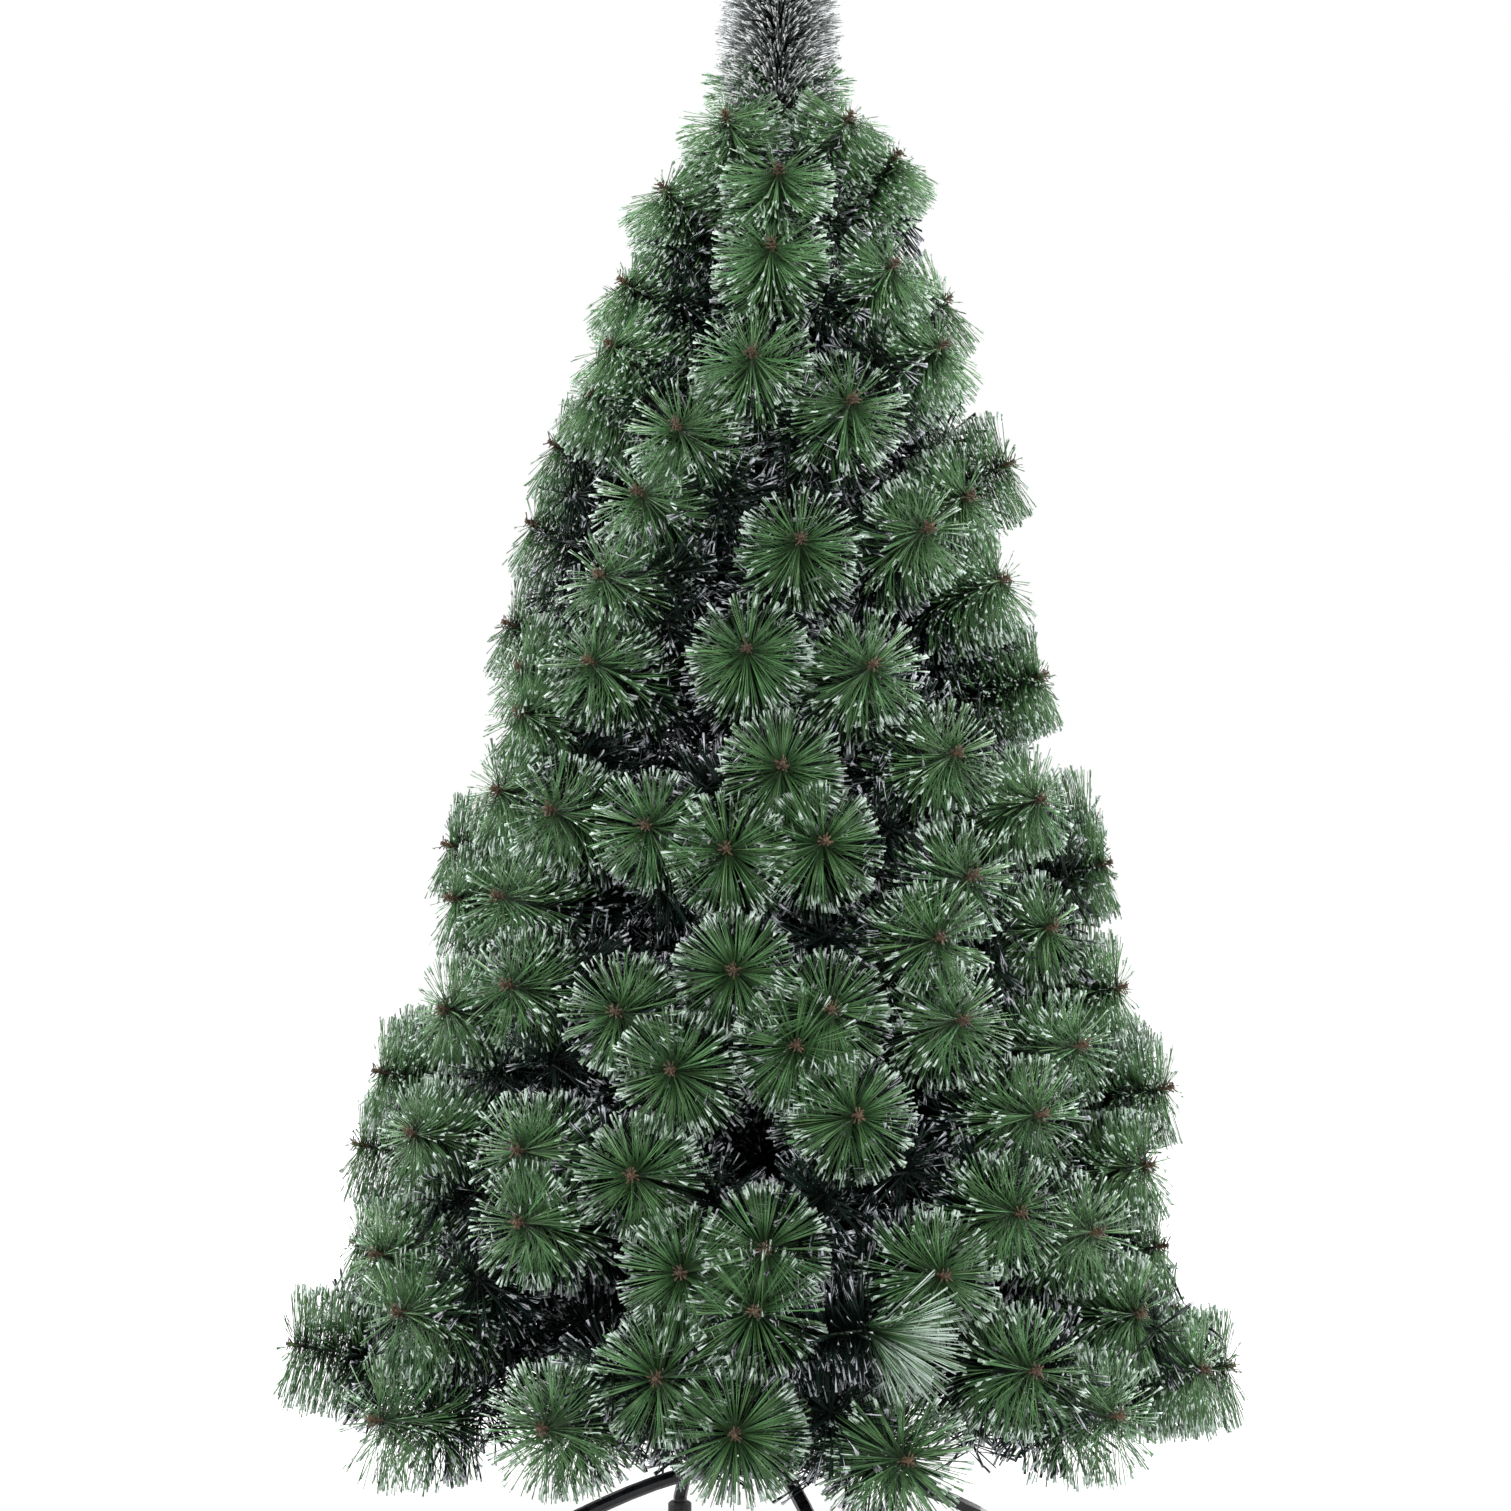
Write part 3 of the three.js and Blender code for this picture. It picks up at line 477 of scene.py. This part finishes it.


# Needles are finest at the wire. Brushes seen from the side, and the short ones of the crown, are the
# fullest. Needles nearer the back of a brush take darker rows of the film, painted shade for the shadow
# inside the brush.
green_root_width, green_head_width = 0.0008, 0.0011
front_needles, crown_needles, side_needles = 450, 620, 900
crown_from, side_on = 0.74, 0.8


def grow_green(label, brushes, seed):
    """The green needles of some brushes as one piece."""
    draw = np.random.default_rng(seed)
    batches = []
    for brush in brushes:
        usual = crown_needles if brush["share"] > crown_from else front_needles
        fullness = side_needles if abs(outward(brush["turn"])[0]) > side_on else usual
        grown = np.interp(brush["share"], (0.66, crown_from, 0.9), (1, 1.08, 1.12))
        reach = brush_reach(brush["share"]) * grown
        roots, heads, columns = grow_needles(draw, brush["base"], brush["tip"], count=fullness, first=0.22,
                                             last=1.0, reach=reach, lean=(0.03, 0.05, 0.1), clump=0.25)
        full = draw.uniform(0.8, 1.2, len(roots))
        # Map rows by place along the brush: the further back a needle stands, the darker, as painted shade.
        forward = (roots - brush["base"]) @ brush["ahead"] / np.linalg.norm(brush["tip"] - brush["base"])
        batches.append(slivers(draw, roots, heads, green_root_width * full, green_head_width * full,
                               low=0.03 + 0.17 * forward, high=0.3 + 0.54 * forward, columns=columns))
        batches.append(flake_slivers(draw, roots, heads, share=0.6, length=0.010, width=0.003,
                                     columns=columns))
        batches.append(fleck_slivers(draw, roots, heads, share=0.08, width=0.0022, columns=columns))
    return lay_mesh(label, batches)


# Dark needles: the inner half of every brush, the twig behind it and the short inner twigs all round
# the rod carry near-black needles with grey flocked ends, so the gaps between the brushes are dark. Their
# near-black film is partly painted shade: on the inner half of each brush it stands for green needles in
# the shadow there.
dark_film_painted_shade = needle_film(
    "dark_film_painted_shade",
    film=((0.002, 0.007, 0.0045), (0.0026, 0.0105, 0.0068), (0.0042, 0.0145, 0.0095)),
    frost=((0.43, 0.44, 0.49), (0.82, 0.84, 0.9)),
    frost_from=0.86, speckle=0.78, film_gloss=0.6, shine=0.15,
)


def inner_twigs(branch, draw):
    """Foot and head of the short dark twigs that leave the rod on all sides, longer near the pole."""
    side = np.cross(branch["way"], [0, 0, 1])
    above = np.cross(side, branch["ahead"])
    found = []
    number = max(6, round(branch["length"] / 0.02))
    for order in range(number):
        turn = golden_turn * order + 0.6
        out = side * math.cos(turn) + above * math.sin(turn)
        place = sleeve_start + (branch["length"] - sleeve_start) * order / number
        foot = branch["root"] + branch["ahead"] * place
        found.append((foot, foot + branch["ahead"] * 0.045 + out * draw.uniform(0.07, 0.13)))
    for rise in (0.15, -0.15, 0.11, -0.11):
        foot = branch["root"] + branch["ahead"] * (sleeve_start + abs(rise) * 0.2)
        found.append((foot, foot + branch["way"] * 0.02 + side * draw.uniform(-0.05, 0.05) + [0, 0, rise]))
    if branch["label"][0] == "1":
        # Those of the lowest tier also hang, and close the tree from below
        for place, aside, fall in ((0.18, -0.09, 0.12), (0.22, 0.1, 0.13),
                                   (0.27, -0.06, 0.14), (0.3, 0.06, 0.12)):
            foot = branch["root"] + branch["ahead"] * place
            found.append((foot, foot + branch["way"] * 0.06 + side * aside - [0, 0, fall]))
    return found


# A whole needle shows the film from just off the wire to just short of the flocked rows
film_rows = (0.03, 0.84)
dark_root_width, dark_head_width = 0.0018, 0.0026
lowest_brushes = 0.17
needles_per_metre_of_twig = 760
needles_per_metre_of_rod = 450
short_reach = 0.06


def grow_dark(label, brushes, branch, seed):
    """The dark needles behind some brushes as one piece, with those of their branch if they have one."""
    draw = np.random.default_rng(seed)
    batches = []

    def add(foot, head, count, first, last, reach):
        roots, heads, columns = grow_needles(draw, foot, head, count, first, last, reach,
                                             lean=(0.1, 0.2, 0), clump=0.3)
        full = draw.uniform(0.8, 1.3, len(roots))
        batches.append(slivers(draw, roots, heads, dark_root_width * full, dark_head_width * full,
                               *film_rows, columns))
        batches.append(flake_slivers(draw, roots, heads, share=0.5225, length=0.02, width=0.0019,
                                     columns=columns))
        batches.append(flake_slivers(draw, roots, heads, share=0.4275, length=0.009, width=0.0032,
                                     columns=columns))
        batches.append(fleck_slivers(draw, roots, heads, share=0.55, width=0.0025, columns=columns))

    for brush in brushes:
        reach = brush_reach(brush["share"])
        # None hangs out below the lowest brushes
        barrel_reach = reach * (1.12 if brush["share"] > lowest_brushes else 0.9)
        add(brush["base"], brush["tip"], count=180, first=0.0, last=0.5, reach=barrel_reach)
        twig = np.linalg.norm(brush["base"] - brush["root"])
        add(brush["root"], brush["base"], count=max(24, needles_per_metre_of_twig * twig),
            first=0.05, last=1.0, reach=reach * 0.92)
        # A dark shoot beside the green one, never under the lowest brushes
        side, other = across(brush["ahead"])
        turn = draw.uniform(0, 2 * math.pi)
        off = np.interp(brush["share"], (0.7, 0.9), (0.08, 0.05))
        beside = (side * math.cos(turn) + other * math.sin(turn)) * off
        if brush["share"] < lowest_brushes:
            beside[2] = abs(beside[2])
        add(brush["base"] + beside * 0.3, brush["tip"] - brush["ahead"] * 0.04 + beside,
            count=150, first=0.1, last=1.0, reach=reach * 0.9)
    if branch is not None:
        start = branch["root"] + branch["ahead"] * sleeve_start
        end = branch["root"] + branch["ahead"] * branch["length"]
        count = needles_per_metre_of_rod * np.linalg.norm(end - start)
        add(start, end, count=count, first=0, last=1, reach=short_reach)
        for foot, head in inner_twigs(branch, draw):
            add(foot, head, count=150, first=0.1, last=1, reach=short_reach)
    return lay_mesh(label, batches)


# Twigs: two wires twisted round the needles' middles, green along the twig. At the tip the bare twist
# stands proud by a fingernail, rusty brown, with a few short stubs of film left round it.
def tube_along(route, radii, sides, spin=0.0):
    """Points and faces of a tube along a route."""
    points, faces = [], []
    for ring, middle in enumerate(route):
        ahead = route[min(ring + 1, len(route) - 1)] - route[max(ring - 1, 0)]
        ahead = ahead / np.linalg.norm(ahead)
        side, other = across(ahead)
        for corner in range(sides):
            angle = spin + 2 * math.pi * corner / sides
            points.append(middle + (side * math.cos(angle) + other * math.sin(angle)) * radii[ring])
    for ring in range(len(route) - 1):
        for corner in range(sides):
            low, after = ring * sides + corner, ring * sides + (corner + 1) % sides
            faces.append((low, after, after + sides, low + sides))
    last = (len(route) - 1) * sides
    faces.append(tuple(reversed(range(sides))))
    faces.append(tuple(range(last, last + sides)))
    return points, faces


def lay_faces(name, points, faces):
    mesh = bpy.data.meshes.new(name)
    mesh.from_pydata([tuple(point) for point in points], [], faces)
    piece = bpy.data.objects.new(name, mesh)
    bpy.context.scene.collection.objects.link(piece)
    return piece


def lay_tubes(name, tubes):
    """One smooth piece of several tubes."""
    points, faces = [], []
    for tube_points, tube_faces in tubes:
        base = len(points)
        points.extend(tube_points)
        faces.extend(tuple(base + corner for corner in face) for face in tube_faces)
    piece = lay_faces(name, points, faces)
    piece.data.shade_smooth()
    return piece


twig_radius = 0.0017


def twig_piece(name, brushes):
    """The twig of each brush, from the rod through a bend at its first needles to just past its tip."""
    tubes = []
    for brush in brushes:
        bend = brush["base"]
        start, end = brush["root"], brush["tip"] + brush["ahead"] * 0.002
        first = bend + (start - bend) * min(0.4, 0.03 / max(0.001, np.linalg.norm(start - bend)))
        last = bend + (end - bend) * 0.25
        curve = [(1 - t) ** 2 * first + 2 * t * (1 - t) * bend + t * t * last
                 for t in (0, 0.25, 0.5, 0.75, 1)]
        route = [start, *curve, end]
        tubes.append(tube_along(route, [twig_radius] * len(route), 5))
    return lay_tubes(name, tubes)


def twig_end_piece(name, brushes, seed):
    """The bare twist at the tip of each brush: two wires wound round each other, and stubs of film."""
    draw = np.random.default_rng(seed)
    tubes = []
    twist_length, twist_turns, wire_radius, steps, stubs = 0.018, 1.7, 0.0016, 8, 16
    for brush in brushes:
        ahead = brush["ahead"]
        side, other = across(ahead)
        foot = brush["tip"] - ahead * 0.008
        for strand in (0, math.pi):
            route = []
            for step in range(steps + 1):
                angle = strand + step * 2 * math.pi * twist_turns / steps
                lean = side * math.cos(angle) + other * math.sin(angle)
                route.append(foot + ahead * (twist_length * step / steps) + lean * wire_radius)
            tubes.append(tube_along(route, [wire_radius] * steps + [0.0011], 5))
        for stub in range(stubs):
            turn = golden_turn * stub + draw.normal(0, 0.2)
            out = side * math.cos(turn) + other * math.sin(turn)
            root = foot + ahead * (0.004 + 0.012 * stub / stubs)
            head = root + (out + ahead * draw.uniform(0.2, 0.8)) * draw.uniform(0.005, 0.009)
            tubes.append(tube_along([root, head], [0.0005, 0.0009], 3, turn))
    return lay_tubes(name, tubes)


twig_green = paint_skin("twig_green", colour=(0.012, 0.03, 0.014), rubbed=(0.05, 0.07, 0.045),
                        gloss=0.55, peel_scale=1500, peel_depth=0.0002)
twist_brown = paint_skin("twist_brown", colour=(0.06, 0.037, 0.021), rubbed=(0.16, 0.1, 0.057),
                         gloss=0.6, peel_scale=1300, peel_depth=0.0003)


# Branches dressed: needles, twigs and bare twists of one branch ride on it.
for order, branch in enumerate(branches):
    label = branch["label"]
    body = f"branch_{label}"
    side = np.cross(branch["way"], [0, 0, 1])
    brushes = branch["brushes"]
    green = grow_green(f"green_needles_{label}", brushes, 100 + order)
    dark = grow_dark(f"dark_needles_{label}", brushes, branch, 200 + order)
    twigs = twig_piece(f"twigs_{label}", brushes)
    twists = twig_end_piece(f"twig_ends_{label}", brushes, 300 + order)
    dressed = ((green, green_film, "frosted_needles"), (dark, dark_film_painted_shade, "dark_needles"),
               (twigs, twig_green, "branch_steel"), (twists, twist_brown, "branch_steel"))
    for piece, skin, slot in dressed:
        finish_with(piece, skin)
        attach(piece, body)
        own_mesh(piece)
    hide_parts(f"branch_sprays_{label}")


# One brush of the lowest front branch lies across the tree. Its barrel takes the near-black dark film,
# painted shade for a brush seen side-on in shadow, and the tuft at its end is the whitest flocking on the
# tree. It ends a bare twig that leaves the end of the rod.
draw = np.random.default_rng(800)
front_branch = branches[0]
rod_end = front_branch["root"] + front_branch["ahead"] * front_branch["length"]
lying_foot = np.array([-0.012, -0.408, 0.357])
lying_head = np.array([0.1, -0.428, 0.377])
roots, heads, columns = grow_needles(draw, lying_foot, lying_head, count=420, first=0, last=1,
                                     reach=0.06, lean=(0.1, 0.2, 0), clump=0.2)
full = draw.uniform(0.8, 1.3, len(roots))
lying_brush = lay_mesh("lying_brush", (
    slivers(draw, roots, heads, 0.0015 * full, 0.0018 * full, *film_rows, columns),
    flake_slivers(draw, roots, heads, share=0.8, length=0.024, width=0.0018, columns=columns),
))
finish_with(lying_brush, dark_film_painted_shade)
tuft_way = np.array([0.93, -0.22, -0.3])
roots, heads, columns = grow_needles(draw, lying_head - tuft_way * 0.01, lying_head + tuft_way * 0.09,
                                     count=230, first=0, last=0.25, reach=0.086,
                                     lean=(0.95, 0.28, 0), clump=0.1)
full = draw.uniform(0.8, 1.3, len(roots))
# Its needles are flocked over most of their length
lying_tuft = lay_mesh("lying_tuft", (
    slivers(draw, roots, heads, 0.0009 * full, 0.0011 * full, low=0.77, high=0.92, columns=columns),
    flake_slivers(draw, roots, heads, share=0.7, length=0.05, width=0.0013, columns=columns),
))
finish_with(lying_tuft, green_film)
lying_twig = lay_faces("lying_twig", *tube_along([rod_end, lying_foot, lying_head], [twig_radius] * 3, 5))
finish_with(lying_twig, twig_green)
for piece, slot in ((lying_brush, "dark_needles"), (lying_tuft, "frosted_needles"),
                    (lying_twig, "branch_steel")):
    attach(piece, "branch_1_1")
    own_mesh(piece)


# Crown: the three rings of short brushes bound straight to the top stem, which lifts out with them.
# Their film is a paler copy of the green film: painted light, for the crown catches more light from above.
crown_film_painted_light = needle_film(
    "crown_film_painted_light",
    film=((0.026, 0.066, 0.022), (0.1, 0.235, 0.084), (0.135, 0.28, 0.118)),
    frost=((0.41, 0.54, 0.44), (0.78, 0.9, 0.81)),
    frost_from=0.86, speckle=0.78, film_gloss=0.42,
)
for order, part in enumerate(crowns):
    label = part["label"]
    brushes = part["brushes"]
    green = grow_green(f"crown_green_{label}", brushes, 400 + order)
    dark = grow_dark(f"crown_dark_{label}", brushes, None, 500 + order)
    twigs = twig_piece(f"crown_twigs_{label}", brushes)
    twists = twig_end_piece(f"crown_twig_ends_{label}", brushes, 600 + order)
    dressed = ((green, crown_film_painted_light, "frosted_needles"), (dark, dark_film_painted_shade, "dark_needles"),
               (twigs, twig_green, "branch_steel"), (twists, twist_brown, "branch_steel"))
    for piece, skin, slot in dressed:
        finish_with(piece, skin)
        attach(piece, "top_section")
    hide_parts(f"crown_sprays_{label}")


# Leader: the dark brush on the top of the stem, charcoal film with grey-white flocked ends, caught in
# one upright twisted wire. Two short tufts of the crown's film, the ruff, stand beside its foot.
leader_film = needle_film(
    "leader_film",
    film=((0.008, 0.01, 0.01), (0.03, 0.036, 0.035), (0.14, 0.16, 0.155)),
    frost=((0.58, 0.6, 0.61), (0.93, 0.95, 0.95)),
    frost_from=0.86, speckle=0.72, film_gloss=0.5,
)
draw = np.random.default_rng(700)
batches = []
for side in (-1, 1):
    tuft_foot = np.array([side * 0.012, 0.006, 1.572])
    tuft_head = np.array([side * 0.044, 0.01, 1.664])
    roots, heads, columns = grow_needles(draw, tuft_foot, tuft_head, count=460, first=0.1, last=1.0,
                                         reach=0.049, lean=(0.3, 0.15, 0.3), clump=0.25)
    full = draw.uniform(0.8, 1.2, len(roots))
    batches.append(slivers(draw, roots, heads, 0.0009 * full, 0.0012 * full, *film_rows, columns))
    batches.append(flake_slivers(draw, roots, heads, share=0.8, length=0.011, width=0.003,
                                 columns=columns))
ruff = lay_mesh("crown_ruff", batches)
# The ruff takes the crown's paler film, painted light from above.
finish_with(ruff, crown_film_painted_light)
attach(ruff, "top_section")
leader_foot = np.array([0, 0, 1.615])
leader_head = np.array([0, 0, 1.78])
roots, heads, columns = grow_needles(draw, leader_foot, leader_head, count=2300, first=0, last=1,
                                     reach=0.071, lean=(0.2, 0.13, 0.4), clump=0.1)
# The top of the brush is cut to a dome
dome_foot, dome_height, dome_top = 1.725, 0.08, 1.797
above = np.clip((heads[:, 2] - dome_foot) / dome_height, 0, 1)
heads = roots + (heads - roots) * (1 - 0.75 * above ** 2)[:, None]
heads[:, 2] = np.minimum(heads[:, 2], dome_top)
full = draw.uniform(0.8, 1.2, len(roots))
leader = lay_mesh("leader_needles", (
    slivers(draw, roots, heads, 0.0011 * full, 0.0012 * full, *film_rows, columns),
    flake_slivers(draw, roots, heads, share=0.95, length=0.02, width=0.0019, columns=columns),
    fleck_slivers(draw, roots, heads, share=0.8, width=0.0019, columns=columns),
))
finish_with(leader, leader_film)
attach(leader, "top_section")
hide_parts("leader_brush")
wire_top = leader_head + np.array([0, 0, 0.012])
leader_wire = lay_faces("leader_wire", *tube_along([leader_foot, wire_top], [0.0024, 0.0022], 8))
finish_with(leader_wire, twig_green)
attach(leader_wire, "top_section")


# Studio: a wide pale floor that keeps the tree's shadow, a white surround, one large soft lamp in front
# on the left, a weaker one on the right and one above.
def seen_plainly(tree):
    """1 for rays of the camera and those that gloss or clear things send, 0 for rays that carry light."""
    rays = tree.nodes.new("ShaderNodeLightPath")
    answer = rays.outputs["Is Camera Ray"]
    for kind in ("Is Glossy Ray", "Is Transmission Ray"):
        either = tree.nodes.new("ShaderNodeMath")
        either.operation = "MAXIMUM"
        tree.links.new(answer, either.inputs[0])
        tree.links.new(rays.outputs[kind], either.inputs[1])
        answer = either.outputs["Value"]
    return answer


floor = lay_faces("floor", [(-30, -30, 0), (30, -30, 0), (30, 30, 0), (-30, 30, 0)], [(0, 1, 2, 3)])
floor_paint = bpy.data.materials.new("floor_paint")
floor_paint.use_nodes = True
floor_nodes = floor_paint.node_tree
floor_shader = floor_nodes.nodes["Principled BSDF"]
floor_shader.inputs["Base Color"].default_value = (0.9, 0.9, 0.9, 1)
floor_shader.inputs["Roughness"].default_value = 0.9
floor_glow = floor_nodes.nodes.new("ShaderNodeEmission")
floor_place = floor_nodes.nodes.new("ShaderNodeNewGeometry")
floor_distance = floor_nodes.nodes.new("ShaderNodeVectorMath")
floor_distance.operation = "LENGTH"
# Under the tree the floor hardly glows, so the shadow stays; further out it fades into the white surround
floor_fade = floor_nodes.nodes.new("ShaderNodeMapRange")
for socket, value in (("From Min", 0.8), ("From Max", 2.8), ("To Min", 0.1), ("To Max", 0.75)):
    floor_fade.inputs[socket].default_value = value
floor_share = floor_nodes.nodes.new("ShaderNodeMath")
floor_share.operation = "MULTIPLY"
floor_nodes.links.new(floor_place.outputs["Position"], floor_distance.inputs[0])
floor_nodes.links.new(floor_distance.outputs["Value"], floor_fade.inputs["Value"])
floor_nodes.links.new(floor_fade.outputs["Result"], floor_share.inputs[1])
floor_sum = floor_nodes.nodes.new("ShaderNodeAddShader")
floor_nodes.links.new(seen_plainly(floor_nodes), floor_share.inputs[0])
floor_nodes.links.new(floor_share.outputs["Value"], floor_glow.inputs["Strength"])
floor_nodes.links.new(floor_shader.outputs["BSDF"], floor_sum.inputs[0])
floor_nodes.links.new(floor_glow.outputs["Emission"], floor_sum.inputs[1])
floor_nodes.links.new(floor_sum.outputs["Shader"], floor_nodes.nodes["Material Output"].inputs["Surface"])
finish_with(floor, floor_paint)

surround = bpy.data.worlds.new("surround")
bpy.context.scene.world = surround
surround.use_nodes = True
air = surround.node_tree
lit_air = air.nodes["Background"]
lit_air.inputs["Color"].default_value = (1, 1, 1, 1)
lit_air.inputs["Strength"].default_value = 0.29
seen_air = air.nodes.new("ShaderNodeBackground")
seen_air.inputs["Color"].default_value = (1, 1, 1, 1)
seen_air.inputs["Strength"].default_value = 1
air_mix = air.nodes.new("ShaderNodeMixShader")
air.links.new(seen_plainly(air), air_mix.inputs["Fac"])
air.links.new(lit_air.outputs["Background"], air_mix.inputs[1])
air.links.new(seen_air.outputs["Background"], air_mix.inputs[2])
air.links.new(air_mix.outputs["Shader"], air.nodes["World Output"].inputs["Surface"])


def hang_lamp(name, place, power, size):
    lamp_data = bpy.data.lights.new(name, "AREA")
    lamp_data.energy = power
    lamp_data.shape = "DISK"
    lamp_data.size = size
    lamp = bpy.data.objects.new(name, lamp_data)
    lamp.location = place
    lamp.rotation_euler = (Vector((0, 0, 0.9)) - Vector(place)).to_track_quat("-Z", "Y").to_euler()
    bpy.context.scene.collection.objects.link(lamp)


hang_lamp("key_lamp", place=(-1.5, -3.4, 2.4), power=90, size=1.8)
hang_lamp("fill_lamp", place=(2.4, -2.6, 1.5), power=42, size=1.8)
hang_lamp("top_lamp", place=(0.3, 0.6, 3.6), power=40, size=2.0)
hang_lamp("left_rim_lamp", place=(-3.0, 1.0, 1.5), power=120, size=1.6)
hang_lamp("right_rim_lamp", place=(3.0, 1.0, 1.5), power=120, size=1.6)
bpy.context.scene.view_settings.view_transform = "Standard"
